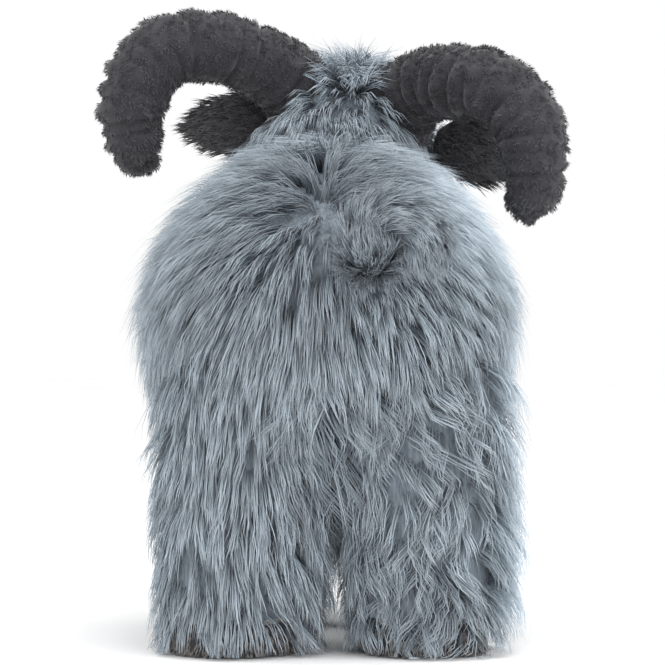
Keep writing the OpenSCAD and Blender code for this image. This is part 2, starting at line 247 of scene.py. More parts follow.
@dataclass(frozen=True)
class Mottled:
    """A matt material whose colour and relief wander: suede, leather, felt, fibre or wood."""

    name: str
    dark: str
    light: str
    grain_mm: float
    roughness: float
    relief_mm: float = 0.2
    stretch: tuple[float, float, float] = (1.0, 1.0, 1.0)
    sheen: float = 0.0

    def make(self) -> bpy.types.Material:
        """Builds the material from noise on Object coordinates, in metres."""
        material, tree, shader = new_material(self.name)
        spot = add_node(tree, "ShaderNodeTexCoord")
        grid = add_node(tree, "ShaderNodeMapping", {"Scale": self.stretch}, Vector=spot.outputs["Object"])
        grain = add_node(
            tree, "ShaderNodeTexNoise", {"Scale": 1 / (self.grain_mm * MM), "Detail": 4.0}, Vector=grid.outputs[0]
        )
        shade = colour_ramp(tree, grain.outputs["Fac"], [(0.3, self.dark), (0.7, self.light)])
        bump = add_node(
            tree, "ShaderNodeBump", {"Strength": 0.6, "Distance": self.relief_mm * MM}, Height=grain.outputs["Fac"]
        )
        tree.links.new(shade, shader.inputs["Base Color"])
        tree.links.new(bump.outputs[0], shader.inputs["Normal"])
        shader.inputs["Roughness"].default_value = self.roughness
        shader.inputs["Sheen Weight"].default_value = self.sheen
        return material


@dataclass(frozen=True)
class DrawnSteel:
    """Plain drawn steel rod: fine lines along the draw and a dull satin gloss."""

    name: str = "drawn_steel"

    def make(self) -> bpy.types.Material:
        """Builds the steel with a colour that wanders in fine noise, at one roughness."""
        material, tree, shader = new_material(self.name)
        spot = add_node(tree, "ShaderNodeTexCoord")
        lines = add_node(tree, "ShaderNodeTexNoise", {"Scale": 900.0, "Detail": 2.0}, Vector=spot.outputs["Object"])
        shade = colour_ramp(tree, lines.outputs["Fac"], [(0.2, "#8d8f92"), (0.8, "#b9bbbd")])
        tree.links.new(shade, shader.inputs["Base Color"])
        shader.inputs["Metallic"].default_value = 1.0
        shader.inputs["Roughness"].default_value = 0.38
        return material


@dataclass(frozen=True)
class GlassEye:
    """Moulded glossy plastic eye: near-black with a brown depth, under a clear hard coat."""

    name: str = "moulded_eye"

    def make(self) -> bpy.types.Material:
        """Builds the eye with a faint brown fleck under its gloss."""
        material, tree, shader = new_material(self.name)
        spot = add_node(tree, "ShaderNodeTexCoord")
        fleck = add_node(tree, "ShaderNodeTexNoise", {"Scale": 420.0, "Detail": 3.0}, Vector=spot.outputs["Object"])
        shade = colour_ramp(tree, fleck.outputs["Fac"], [(0.35, "#0b0807"), (0.75, "#2a170c")])
        tree.links.new(shade, shader.inputs["Base Color"])
        shader.inputs["Roughness"].default_value = 0.09
        shader.inputs["Coat Weight"].default_value = 1.0
        return material


LOCK_TONE_WIDTH = 0.02  # share of the tone map that one lock crosses
FIBRES_PER_TONE = 2.5 / LOCK_TONE_WIDTH


class Finishes:
    """The materials of the whole figure, each made once."""

    def __init__(self) -> None:
        """Makes every material."""
        # The first colour of each wool is its root, darkened as painted shade between the locks
        self.long_wool = Wool("long_wool", "#545d65", "#848f98", "#abb6bf").make()
        self.pile = Wool("sheared_pile", "#131215", "#302f34", "#4a494f", sheen=0.3).make()
        self.hoof_pile = Wool("hoof_pile", "#5f5c5a", "#7c7977", "#918e8c").make()
        self.hide = Mottled(
            "underwool", "#565f67", "#7d8790", 2.2, 0.95, 1.2, stretch=(1.0, 1.0, 0.22), sheen=0.1
        ).make()
        self.dark_hide = Mottled("charcoal_suede", "#232226", "#343338", 2.5, 0.9, 0.3, sheen=0.2).make()
        self.nose = Mottled("nose_leather", "#120f10", "#241f20", 1.2, 0.42, 0.25).make()
        self.thread = Mottled("waxed_thread", "#121112", "#252324", 0.8, 0.5, 0.2).make()
        self.stuffing = Mottled("fibre_stuffing", "#d8d4c8", "#f3f0e8", 9.0, 0.95, 1.5).make()
        self.board = Mottled("birch_plywood", "#a8895c", "#c9ab7c", 6.0, 0.6, 0.1, stretch=(1.0, 8.0, 1.0)).make()
        self.washer = Mottled("moulded_nylon", "#d2cfc6", "#e4e1d9", 5.0, 0.45, 0.05).make()
        self.steel = DrawnSteel().make()
        self.eye = GlassEye().make()


# ---------------------------------------------------------------- swept forms


class Form:
    """A round or oval form swept along a line, with a place for every station and angle."""

    def __init__(self, centres: Array, across: Array, depth: Array | None = None, side: Array | None = None) -> None:
        """Works out the rings.

        Args:
            centres: Middle of each ring, n by 3.
            across: Half width of each ring along its side direction.
            depth: Half width the other way; the same as across where none is given.
            side: Direction of angle 0, one vector or one for each ring; +X where none is given.
        """
        self.centres = np.asarray(centres, float)
        self.across = np.asarray(across, float)
        self.depth = self.across if depth is None else np.asarray(depth, float)
        steps = np.linalg.norm(np.diff(self.centres, axis=0), axis=1)
        self.station = np.concatenate([[0.0], np.cumsum(steps)])
        self.length = float(self.station[-1])
        self.way = unit(np.gradient(self.centres, self.station, axis=0))
        side = np.array([1.0, 0.0, 0.0]) if side is None else np.asarray(side, float)
        side = np.broadcast_to(side, self.centres.shape)
        self.side = unit(side - self.way * np.sum(side * self.way, axis=1, keepdims=True))
        self.up = np.cross(self.side, self.way) * -1.0
        self.slope = np.gradient(0.5 * (self.across + self.depth), self.station)

    def _at(self, table: Array, s: Array) -> Array:
        """Reads a table of the rings at stations s."""
        if table.ndim == 1:
            return np.interp(s, self.station, table)
        return np.stack([np.interp(s, self.station, table[:, k]) for k in range(3)], axis=-1)

    def place(self, s: Array, angle: Array, proud: Array | float = 0.0) -> tuple[Array, Array, Array]:
        """Finds points on the form.

        Args:
            s: Distance of each point along the line.
            angle: Angle of each point, in radians.
            proud: How far each point stands off the form.

        Returns:
            Points, outward normals and directions along the line.
        """
        side, up, way = unit(self._at(self.side, s)), unit(self._at(self.up, s)), unit(self._at(self.way, s))
        a, b = self._at(self.across, s)[:, None], self._at(self.depth, s)[:, None]
        c, n = np.cos(angle)[:, None], np.sin(angle)[:, None]
        out = unit(c * side * b + n * up * a)
        normal = unit(out - way * self._at(self.slope, s)[:, None])
        points = self._at(self.centres, s) + c * a * side + n * b * up + normal * np.reshape(proud, (-1, 1))
        return points, normal, way

    def scatter(self, count: int, rng: np.random.Generator) -> tuple[Array, Array]:
        """Chooses stations and angles evenly over the form's surface.

        Args:
            count: How many to choose.
            rng: Source of randomness.

        Returns:
            Stations and angles.
        """
        girth = np.maximum(self.across, self.depth) * np.sqrt(1 + self.slope**2)
        share = np.concatenate([[0.0], np.cumsum(0.5 * (girth[1:] + girth[:-1]) * np.diff(self.station))])
        s = np.interp(rng.uniform(0, share[-1], 3 * count), share, self.station)
        angle = rng.uniform(0, 2 * math.pi, 3 * count)
        a, b = self._at(self.across, s), self._at(self.depth, s)
        arc = np.hypot(a * np.sin(angle), b * np.cos(angle)) / np.maximum(np.maximum(a, b), 1e-9)
        keep = rng.uniform(0, 1, 3 * count) < arc
        return s[keep][:count], angle[keep][:count]

    def area(self) -> float:
        """Returns the form's surface, in square metres."""
        girth = math.pi * (self.across + self.depth) * np.sqrt(1 + np.minimum(self.slope**2, 9.0))
        return float(np.sum(0.5 * (girth[1:] + girth[:-1]) * np.diff(self.station)))


def wrap(
    name: str,
    form: Form,
    rings: int,
    sides: int,
    proud: Callable[[Array, Array], Array] | float = 0.0,
    keep: Callable[[Array], Array] | None = None,
    thickness: float = 0.0,
) -> bpy.types.Object:
    """Wraps a flat grid around a form to make its skin.

    Args:
        name: Name of the piece.
        form: The form to cover.
        rings: Rows of faces along the form.
        sides: Faces around the form.
        proud: How far the skin stands off the form, as a number or a function of station and angle.
        keep: Tells which face centres belong to the piece; all of them where none is given.
        thickness: Wall of an open skin; a closed one has none.

    Returns:
        The piece.
    """
    bpy.ops.object.select_all(action="DESELECT")
    bpy.ops.mesh.primitive_grid_add(x_subdivisions=sides, y_subdivisions=rings, size=1.0)
    piece = bpy.context.object
    piece.name = piece.data.name = name
    flat = np.empty(len(piece.data.vertices) * 3)
    piece.data.vertices.foreach_get("co", flat)
    flat = flat.reshape(-1, 3) + 0.5
    s, angle = flat[:, 1] * form.length, flat[:, 0] * 2 * math.pi
    off = proud(s, angle) if callable(proud) else proud
    points, _, _ = form.place(s, angle, off)
    for end in (0.0, 1.0):
        rim = np.isclose(flat[:, 1], end)
        points[rim] = points[rim].mean(axis=0)
    piece.data.vertices.foreach_set("co", points.ravel())
    bpy.ops.object.mode_set(mode="EDIT")
    bpy.ops.mesh.select_all(action="SELECT")
    bpy.ops.mesh.remove_doubles(threshold=0.00005)
    bpy.ops.mesh.normals_make_consistent(inside=False)
    bpy.ops.object.mode_set(mode="OBJECT")
    if keep is not None:
        trim(piece, keep)
    if thickness:
        wall = piece.modifiers.new("wall", "SOLIDIFY")
        wall.thickness = thickness
        wall.offset = -1.0
        bpy.ops.object.modifier_apply(modifier=wall.name)
    bpy.ops.object.shade_smooth()
    return piece


def trim(piece: bpy.types.Object, keep: Callable[[Array], Array]) -> None:
    """Deletes the faces of a piece whose centres keep() turns down."""
    mesh = piece.data
    centres = np.empty(len(mesh.polygons) * 3)
    mesh.polygons.foreach_get("center", centres)
    drop = ~keep(centres.reshape(-1, 3))
    bpy.ops.object.mode_set(mode="EDIT")
    bpy.ops.mesh.select_mode(type="FACE")
    bpy.ops.mesh.select_all(action="DESELECT")
    bpy.ops.object.mode_set(mode="OBJECT")
    mesh.polygons.foreach_set("select", drop)
    bpy.ops.object.mode_set(mode="EDIT")
    bpy.ops.mesh.delete(type="FACE")
    bpy.ops.object.mode_set(mode="OBJECT")


def dress(
    piece: bpy.types.Object, material: bpy.types.Material, body: str, slot: str, *nodes: str
) -> bpy.types.Object:
    """Gives a piece its material and its body, and hides the CAD nodes that it stands for.

    Args:
        piece: The piece.
        material: What it is made of.
        body: The body that it moves with.
        slot: The record's slot for its finish; not used.
        *nodes: CAD nodes that it replaces.

    Returns:
        The same piece.
    """
    piece.data.materials.clear()
    piece.data.materials.append(material)
    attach(piece, body)
    if nodes:
        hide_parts(*nodes)
    LOG.info("%s rides on %s: %d faces", piece.name, body, len(piece.data.polygons))
    return piece


# ---------------------------------------------------------------- wool


@dataclass
class Fleece:
    """How the wool of one skin stands: a guide hair for each lock, and the fibres bunched around it."""

    length: float = 64 * MM
    lift: float = 0.84
    fall: float = 0.9
    bend: float = 0.92
    clump: float = 0.5
    spread: float = 4.6 * MM
    width: float = 1.3 * MM
    steps: int = 4
    fibres: int = 8
    per_mm2: float = 0.235
    wave: float = 0.0
    fuzz: float = 2.4 * MM
    floor: float = 2.5 * MM

    def locks_on(self, form: Form) -> int:
        """Returns how many locks cover a form."""
        return int(form.area() * 1e6 * self.per_mm2 / self.fibres)


@dataclass
class Guides:
    """The guide hairs of one skin, one row for each lock."""

    root: Array
    normal: Array
    comb: Array
    tone: Array
    length: Array
    lift: Array
    wave: Array
    phase: Array

    def joined(self, other: "Guides") -> "Guides":
        """Returns these guides and another's together."""
        return Guides(*(np.concatenate([getattr(self, n), getattr(other, n)]) for n in self.__dataclass_fields__))

    def chosen(self, keep: Array) -> "Guides":
        """Returns only the guides that keep marks."""
        return Guides(*(getattr(self, name)[keep] for name in self.__dataclass_fields__))


def guide_lines(guides: Guides, fleece: Fleece) -> Array:
    """Bends each guide hair from its root to its tip.

    Args:
        guides: The guide hairs.
        fleece: How the wool stands.

    Returns:
        Points of each guide, guides by steps + 1 by 3.
    """
    n = unit(guides.normal)
    t = unit(guides.comb - n * np.sum(guides.comb * n, axis=1, keepdims=True))
    side = np.cross(n, t)
    lift = guides.lift[:, None]
    start = unit(n * lift + t * np.sqrt(np.maximum(1 - lift**2, 0.02)))
    target = unit(t + DOWN * fleece.fall)
    inward = np.minimum(np.sum(target * n, axis=1, keepdims=True), 0.04)
    target = unit(target - n * (inward - 0.04))
    points = [guides.root - n * 1.0 * MM]
    for k in range(fleece.steps):
        share = k / max(fleece.steps - 1, 1)
        way = unit(start * (1 - fleece.bend * share) + target * fleece.bend * share)
        turn = guides.phase + share * 2 * math.pi * 0.6
        sway = side * np.sin(turn)[:, None] + n * np.cos(turn)[:, None] * 0.45
        way = unit(way + sway * guides.wave[:, None])
        points.append(points[-1] + way * (guides.length / fleece.steps)[:, None])
    return np.stack(points, axis=1)


def grow(name: str, guides: Guides, fleece: Fleece, seed: int) -> bpy.types.Object:
    """Grows the locks of one skin as closed, tapering slivers of wool.

    Args:
        name: Name of the piece.
        guides: The guide hairs.
        fleece: How the wool stands.
        seed: Start of the random numbers.

    Returns:
        The piece, with its tone map.
    """
    rng = np.random.default_rng(seed)
    lines = guide_lines(guides, fleece)
    count, m, steps = len(lines), fleece.fibres, fleece.steps
    n = unit(guides.normal)
    t = unit(guides.comb - n * np.sum(guides.comb * n, axis=1, keepdims=True))
    side = np.cross(n, t)
    turn = rng.uniform(0, 2 * math.pi, (count, m, 1))
    reach = fleece.spread * np.sqrt(rng.uniform(0, 1, (count, m, 1)))
    offset = side[:, None] * np.cos(turn) * reach + t[:, None] * np.sin(turn) * reach
    share = np.linspace(0, 1, steps + 1)[None, None, :, None]
    points = lines[:, None] + offset[:, :, None] * (1 - fleece.clump * share**0.7)
    points = points + rng.normal(0, fleece.fuzz, (count, m, 1, 3)) * share**1.5
    grown = rng.uniform(0.72, 1.08, (count, m, 1, 1))
    points = points[:, :, :1] + (points - points[:, :, :1]) * grown
    points = points.reshape(count * m, steps + 1, 3)
    points[:, 1:, 2] = np.maximum(points[:, 1:, 2], fleece.floor)
    total = count * m
    out = np.repeat(n, m, axis=0)[:, None] + 0.35 * np.repeat(t, m, axis=0)[:, None]
    along = unit(points[:, 2:] - points[:, :-2])
    wide = unit(np.cross(along, out))
    thick = np.cross(wide, along)
    ring_share = np.arange(1, steps) / steps
    width = fleece.width * (1 - ring_share**2.2 * 0.75)
    width = width[None, :, None] * rng.uniform(0.7, 1.25, (total, 1, 1))
    corners = [
        points[:, 1:-1] + 0.5 * width * (math.cos(a) * wide + 0.45 * math.sin(a) * thick)
        for a in (math.radians(90), math.radians(210), math.radians(330))
    ]
    rings = np.stack(corners, axis=2).reshape(total, -1, 3)
    verts = np.concatenate([points[:, :1], rings, points[:, -1:]], axis=1)
    per = verts.shape[1]
    faces = [(0, 1 + (k + 1) % 3, 1 + k) for k in range(3)]
    for ring in range(steps - 2):
        base = 1 + 3 * ring
        for k in range(3):
            a, b = base + k, base + (k + 1) % 3
            faces += [(a, b, b + 3), (a, b + 3, a + 3)]
    last = 1 + 3 * (steps - 2)
    faces += [(last + k, last + (k + 1) % 3, per - 1) for k in range(3)]
    faces = np.array(faces)
    faces = (faces[None] + np.arange(total)[:, None, None] * per).reshape(-1, 3)
    tone = np.clip(np.repeat(guides.tone, m) + rng.normal(0, 0.07, total), 0.01, 0.97)
    across = np.concatenate([[0.5], np.tile([0.5, 0.0, 1.0], steps - 1), [0.5]])
    v = np.concatenate([[0.0], np.repeat(ring_share, 3), [1.0]])
    u = tone[:, None] + across[None] * LOCK_TONE_WIDTH
    uv = np.stack([u, np.broadcast_to(v, u.shape) * 0.98 + 0.01], axis=-1).reshape(-1, 2)
    return mesh_piece(name, verts.reshape(-1, 3), faces, uv)


def mesh_piece(name: str, verts: Array, faces: Array, uv: Array) -> bpy.types.Object:
    """Makes a smooth piece from triangles, with the tone map on it.

    Args:
        name: Name of the piece.
        verts: Vertices, n by 3.
        faces: Vertex numbers of each triangle.
        uv: Tone map place of each vertex.

    Returns:
        The piece.
    """
    mesh = bpy.data.meshes.new(name)
    mesh.vertices.add(len(verts))
    mesh.vertices.foreach_set("co", verts.astype(np.float32).ravel())
    mesh.loops.add(faces.size)
    mesh.loops.foreach_set("vertex_index", faces.astype(np.int32).ravel())
    mesh.polygons.add(len(faces))
    mesh.polygons.foreach_set("loop_start", np.arange(0, faces.size, 3, dtype=np.int32))
    mesh.polygons.foreach_set("use_smooth", np.ones(len(faces), bool))
    mesh.update(calc_edges=True)
    layer = mesh.uv_layers.new(name=TONE_MAP)
    layer.data.foreach_set("uv", uv[faces.ravel()].astype(np.float32).ravel())
    piece = bpy.data.objects.new(name, mesh)
    bpy.context.scene.collection.objects.link(piece)
    return piece


# ---------------------------------------------------------------- torso and legs


HIDE_LIFT = 2.0 * MM  # thickness of the wool-on skin, over the stuffing
HIDE_WALL = 1.8 * MM  # wall of each hide's mesh
UNDERWOOL = 6.0 * MM  # depth of the dense short wool that stands on the skin between the long locks


class Side(Enum):
    """The ram's own left and right, with the direction along X."""

    LEFT = 1
    RIGHT = -1

    @property
    def word(self) -> str:
        """Returns the side's name for a piece."""
        return self.name.lower()


@dataclass
class Torso:
    """The long-wool torso: five sewn panels over one squared oval form."""

    power: float = 2.5
    seam_angles: tuple[float, float, float] = (-40.0, 90.0, 220.0)
    fleece: Fleece = field(default_factory=Fleece)

    def __post_init__(self) -> None:
        """Takes the form's size from the stuffing node."""
        low, high = box_of("torso_stuffing")
        self.middle = (low + high) / 2
        self.radius = (high[0] - low[0]) / 2 + HIDE_LIFT
        self.half_length = (high[1] - low[1]) / 2 + HIDE_LIFT
        self.rump_low, self.rump_high = box_of("rump_panel")
        self.chest_low, self.chest_high = box_of("chest_panel")
        t = np.linspace(0, math.pi, 61)
        y = -np.sign(np.cos(t)) * np.abs(np.cos(t)) ** (2 / self.power) * self.half_length
        r = np.maximum(np.sin(t), 1e-4) ** (2 / self.power) * self.radius
        centres = self.middle + np.stack([0 * y, y, 0 * y], axis=1)
        self.form = Form(centres, r)

    def level(self, points: Array, proud: float = 0.0) -> Array:
        """Returns below 1 for points inside the torso's form and above 1 outside it."""
        p = points - self.middle
        r = np.hypot(p[:, 0], p[:, 2]) / (self.radius + proud)
        return r**self.power + np.abs(p[:, 1] / (self.half_length + proud)) ** self.power

    def panel_of(self, points: Array) -> Array:
        """Names the sewn panel that each point of the torso lies on."""
        p = points - self.middle
        angle = np.degrees(np.arctan2(p[:, 2], p[:, 0]))
        angle = np.where(angle < self.seam_angles[0], angle + 360, angle)
        names = np.where(angle < self.seam_angles[1], "left_flank", "right_flank").astype(object)
        names[angle > self.seam_angles[2]] = "belly"
        x, y, z = points.T
        rump = (x > self.rump_low[0]) & (x < self.rump_high[0]) & (y > self.rump_low[1]) & (z < self.rump_high[2])
        chest = (np.abs(p[:, 0]) < (self.chest_high[0] - self.chest_low[0]) / 2) & (y < self.chest_high[1])
        names[rump] = "rump"
        names[chest & (z < self.chest_high[2])] = "chest"
        return names


@dataclass
class Comb:
    """The lie of the body's wool: down the sides, out from the spine, and away from a whorl on the croup."""

    torso: Torso
    whorl_share: tuple[float, float] = (0.05, 0.68)
    whorl_reach: float = 75 * MM
    seam_x: float = field(init=False)

    def __post_init__(self) -> None:
        """Places the whorl on the croup and reads the haunch seam."""
        torso = self.torso
        dx, dz = self.whorl_share[0] * torso.radius, self.whorl_share[1] * torso.radius
        left = 1 - (math.hypot(dx, dz) / torso.radius) ** torso.power
        self.whorl = torso.middle + np.array([dx, torso.half_length * left ** (1 / torso.power), dz])
        self.seam_x = float(torso.rump_low[0])

    def direction(self, points: Array) -> Array:
        """Gives the direction that the wool is combed at each point."""
        p = points - self.torso.middle
        away = points - self.whorl
        gap = np.linalg.norm(away, axis=1, keepdims=True)
        out = np.stack([p[:, 0], 0 * p[:, 0], 0 * p[:, 0]], axis=1) / self.torso.radius
        back = np.array([0.0, 0.3, 0.0])
        spin = np.exp(-((gap / self.whorl_reach) ** 2))
        wander = drift(points, 62 * MM, (11, 12, 13))
        unruly = 0.2 + 0.85 * np.clip(self.curl(points) - 0.12, 0, 1)[:, None]
        return DOWN + back + out * 0.8 + away / np.maximum(gap, 1e-4) * spin * 1.8 + wander * unruly

    def curl(self, points: Array) -> Array:
        """Gives how wavy the wool is, most on the rump and the hind legs beside the haunch seam."""
        x, y, z = points.T
        low, high = self.torso.rump_low, self.torso.middle
        beside_seam = smooth_steps(x, self.seam_x - 4 * MM, self.seam_x + 12 * MM)
        below = 1 - smooth_steps(z, high[2] - 45 * MM, high[2] - 10 * MM)
        behind = smooth_steps(y, low[1], low[1] + 40 * MM)
        zone = beside_seam * (1 - smooth_steps(x, 5 * MM, 45 * MM)) * (below * behind)
        return 0.12 + 0.6 * zone

    def tone(self, points: Array) -> Array:
        """Gives the wool's tone, from 0 dark to 1 pale, at each point: paler on the right haunch, with painted rim
        light towards the left edge, painted top light on the upper right, painted shade around the whorl, and a
        little darker where the wool curls.
        """
        x, _, z = points.T
        gap = np.linalg.norm(points - self.whorl, axis=1)
        pale_haunch = 1 - smooth_steps(x, self.seam_x - 10 * MM, self.seam_x)
        # Painted rim light: paler towards the left edge, as if light wrapped round the outline
        painted_rim_light = smooth_steps(x - self.torso.middle[0], 60 * MM, 120 * MM)
        # Painted top light: paler on the upper right of the back, as if lit from above
        painted_top_light = smooth_steps(z, self.torso.middle[2] + 30 * MM, self.torso.middle[2] + 90 * MM)
        painted_top_light *= smooth_steps(-x, 30 * MM, 70 * MM)
        tone = 0.4 + 0.44 * pale_haunch + 0.05 * painted_rim_light + 0.09 * ripple(points, 60 * MM, 21)
        # Painted shade: darker around the whorl, where the wool parts and its depth lies in shade
        tone += 0.32 * painted_top_light - 0.3 * np.exp(-((gap / (55 * MM)) ** 2)) - 0.08 * self.curl(points)
        return tone


@dataclass
class Leg:
    """A stout leg: a wool sleeve over a round stuffed core, down to the hoof cap."""

    side: Side
    pair: str
    fleece: Fleece = field(
        default_factory=lambda: Fleece(length=56 * MM, lift=0.7, spread=5.0 * MM, per_mm2=0.12)
    )

    def __post_init__(self) -> None:
        """Takes the leg's place and size from its stuffing and its sleeve."""
        self.name = f"{self.side.word}_{self.pair}"
        low, high = box_of(f"{self.name}_leg_stuffing")
        self.radius = (high[0] - low[0]) / 2 + HIDE_LIFT
        self.middle = (low + high) / 2
        self.top = box_of(f"{self.name}_leg_sleeve")[1][2] + 20 * MM
        self.hoof_top = box_of(f"{self.name}_hoof_cap")[1][2]
        z = np.linspace(self.hoof_top - 2 * MM, self.top, 24)
        centres = np.stack([0 * z + self.middle[0], 0 * z + self.middle[1], z], axis=1)
        bulge = 1 + 0.06 * np.sin(np.linspace(0, math.pi, 24))
        self.form = Form(centres, self.radius * bulge)

    def near(self, points: Array, margin: float) -> Array:
        """Tells which points lie within the leg's round core, below its top."""
        gap = np.hypot(points[:, 0] - self.middle[0], points[:, 1] - self.middle[1])
        return (gap < self.radius + margin) & (points[:, 2] < self.top)


def guides_on(
    form: Form,
    fleece: Fleece,
    seed: int,
    comb: Callable[[Array, Array], Array],
    tone: Callable[[Array], Array],
    keep: Callable[[Array], Array],
    curl: Callable[[Array], Array] | None = None,
) -> Guides:
    """Plants guide hairs evenly on a form.

    Args:
        form: The form that the wool grows on.
        fleece: How the wool stands.
        seed: Start of the random numbers.
        comb: Gives directions for points and the form's own directions along its line.
        tone: Gives tones for points.
        keep: Tells which points to keep.
        curl: Gives waviness for points; the fleece's own where none is given.

    Returns:
        The guides.
    """
    rng = np.random.default_rng(seed)
    s, angle = form.scatter(fleece.locks_on(form), rng)
    points, normals, way = form.place(s, angle)
    ok = keep(points)
    points, normals, way = points[ok], normals[ok], way[ok]
    size = len(points)
    steep = smooth_steps(normals[:, 2], 0.45, 0.95)
    return Guides(
        root=points,
        normal=normals,
        comb=comb(points, way) + rng.normal(0, 0.1, (size, 3)),
        tone=tone(points) + rng.normal(0, 0.05, size),
        length=fleece.length * rng.uniform(0.82, 1.12, size),
        lift=np.clip(fleece.lift + 0.1 * steep + rng.normal(0, 0.06, size), 0.1, 0.98),
        wave=(curl(points) if curl else np.full(size, fleece.wave)) * rng.uniform(0.7, 1.2, size),
        phase=3.0 * ripple(points, 45 * MM, 31) + rng.normal(0, 0.5, size),
    )


class Body:
    """The torso, neck side and legs: everything woolly that moves with the body."""

    def __init__(self, finishes: Finishes) -> None:
        """Sets out the forms."""
        self.finishes = finishes
        self.torso = Torso()
        self.comb = Comb(self.torso)
        self.legs = [Leg(side, pair) for pair in ("hind", "front") for side in Side]
        self.neck = Neck()

    def on_torso(self, points: Array) -> Array:
        """Tells which points of the torso are bare skin: not under a leg, the neck or the tail."""
        ok = np.ones(len(points), bool)
        for leg in self.legs:
            ok &= ~leg.near(points, -4 * MM)
        root = joint_place("tail_lift")
        gap = np.hypot(points[:, 0] - root[0], points[:, 2] - root[2])
        ok &= ~((gap < 9 * MM) & (points[:, 1] > self.torso.middle[1]))
        return ok & ~self.neck.covers(points)

    def build(self) -> None:
        """Makes the hides and the wool of the torso, the legs and the mane."""
        self.build_torso()
        self.build_fringe()
        for k, leg in enumerate(self.legs):
            self.build_leg(leg, 200 + k)
        self.build_mane()

    def build_torso(self) -> None:
        """Makes the five hide panels and their wool."""
        guides = guides_on(
            self.torso.form, self.torso.fleece, 100,
            comb=lambda p, way: self.comb.direction(p), tone=self.comb.tone, keep=self.on_torso, curl=self.comb.curl,
        )
        near_whorl = np.exp(-((np.linalg.norm(guides.root - self.comb.whorl, axis=1) / (60 * MM)) ** 2))
        top = smooth_steps(guides.normal[:, 2], 0.3, 0.9)
        tail = np.array(joint_place("tail_lift")) + np.array([-22, 30, 6]) * MM
        near_tail = 1 - smooth_steps(np.linalg.norm(guides.root - tail, axis=1), 42 * MM, 72 * MM)
        guides.length *= 1 - 0.22 * near_whorl - 0.08 * top - 0.42 * near_tail
        names = self.torso.panel_of(guides.root)
        for k, panel in enumerate(("left_flank", "right_flank", "belly", "rump", "chest")):
            hide = wrap(
                f"{panel}_hide", self.torso.form, 60, 96, UNDERWOOL,
                keep=lambda c, panel=panel: (self.torso.panel_of(c) == panel) & self.on_torso(c),
                thickness=HIDE_WALL,
            )
            dress(hide, self.finishes.hide, "body", "long_wool", f"{panel}_panel")
            fleece = self.torso.fleece if panel == "rump" else replace(self.torso.fleece, steps=3)
            own = names == panel
            parts = {"": own}
            if panel == "belly":
                # The underside is hardly seen, so a quarter of its locks are left out
                parts = {"": own & (np.arange(len(names)) % 4 > 0)}
            elif "flank" in panel:
                # A flank's wool is two pieces, so that neither is too heavy
                upper = guides.root[:, 2] > self.torso.middle[2] + 20 * MM
                parts = {"_upper": own & upper, "_lower": own & ~upper}
            slot = "pale_long_wool" if panel == "right_flank" else "long_wool"
            for name, chosen in parts.items():
                wool = grow(f"{panel}{name}_wool", guides.chosen(chosen), fleece, 110 + k)
                dress(wool, self.finishes.long_wool, "body", slot)

    def build_fringe(self) -> None:
        """Hangs the long locks that close the space between the hind legs."""
        hind = [leg for leg in self.legs if leg.pair == "hind"]
        left, right = (leg.middle[0] for leg in hind)
        fleece = replace(self.torso.fleece, length=122 * MM, lift=0.25, fall=2.5, steps=4, fibres=9)

        def between(points: Array) -> Array:
            """Tells which points of the rump lie between the hind legs."""
            x, y, z = points.T
            ok = (x < left) & (x > right) & (y > hind[0].middle[1] - 45 * MM)
            return ok & (z < self.torso.middle[2] - 50 * MM) & self.on_torso(points)

        guides = guides_on(
            self.torso.form, fleece, 180, comb=lambda p, way: self.comb.direction(p) + DOWN, tone=self.comb.tone,
            keep=between, curl=self.comb.curl,
        )
        guides.length *= smooth_steps(guides.root[:, 2], 100 * MM, 250 * MM) * 0.4 + 0.9
        wool = grow("rump_fringe_wool", guides, fleece, 181)
        dress(wool, self.finishes.long_wool, "body", "long_wool")

    def build_leg(self, leg: Leg, seed: int) -> None:
        """Makes one leg's hide and wool.

        Args:
            leg: The leg.
            seed: Start of the random numbers.
        """

        def outside(points: Array) -> Array:
            """Tells which points of the leg are clear of the torso."""
            return self.torso.level(points, -3 * MM) > 1

        hide = wrap(f"{leg.name}_leg_hide", leg.form, 30, 48, UNDERWOOL, keep=outside, thickness=HIDE_WALL)
        dress(hide, self.finishes.hide, "body", "long_wool", f"{leg.name}_leg_sleeve")

        def comb(points: Array, _: Array) -> Array:
            """Combs the leg's wool down and out."""
            out = points - leg.middle
            out[:, 2] = 0
            wander = drift(points, 60 * MM, (41, 42, 43))
            return DOWN + out * 6 + wander * (0.3 + self.comb.curl(points)[:, None])

        guides = guides_on(
            leg.form, leg.fleece, seed, comb=comb, tone=self.comb.tone, keep=outside, curl=self.comb.curl
        )
        low = 1 - smooth_steps(guides.root[:, 2], 30 * MM, 90 * MM)
        outer = guides.normal[:, 0] * leg.side.value
        full = np.maximum(outer if leg.side is Side.RIGHT else -outer, -0.35)
        guides.length *= 1 - 0.15 * low + 0.12 * full
        guides.lift = np.clip(guides.lift + 0.1 * low + 0.22 * full, 0.15, 0.97)
        fleece = leg.fleece if leg.pair == "hind" else replace(leg.fleece, steps=3)
        wool = grow(f"{leg.name}_leg_wool", guides, fleece, seed + 50)
        dress(wool, self.finishes.long_wool, "body", "long_wool")

    def build_mane(self) -> None:
        """Makes the two mane panels below the neck seam."""
        neck = self.neck
        form = neck.form(neck.start, -1.0 * MM)
        fleece = Fleece(length=52 * MM, lift=0.8, per_mm2=0.19, steps=3)

        def comb(_: Array, way: Array) -> Array:
            """Combs the mane back from the seam and down."""
            return -way * 0.9 + DOWN * 0.7

        for k, side in enumerate(Side):

            def keep(points: Array, side: Side = side) -> Array:
                """Tells which points of the neck lie on one side, clear of the torso."""
                return (self.torso.level(points) > 1) & ((points[:, 0] - neck.seam[0]) * side.value > 0)

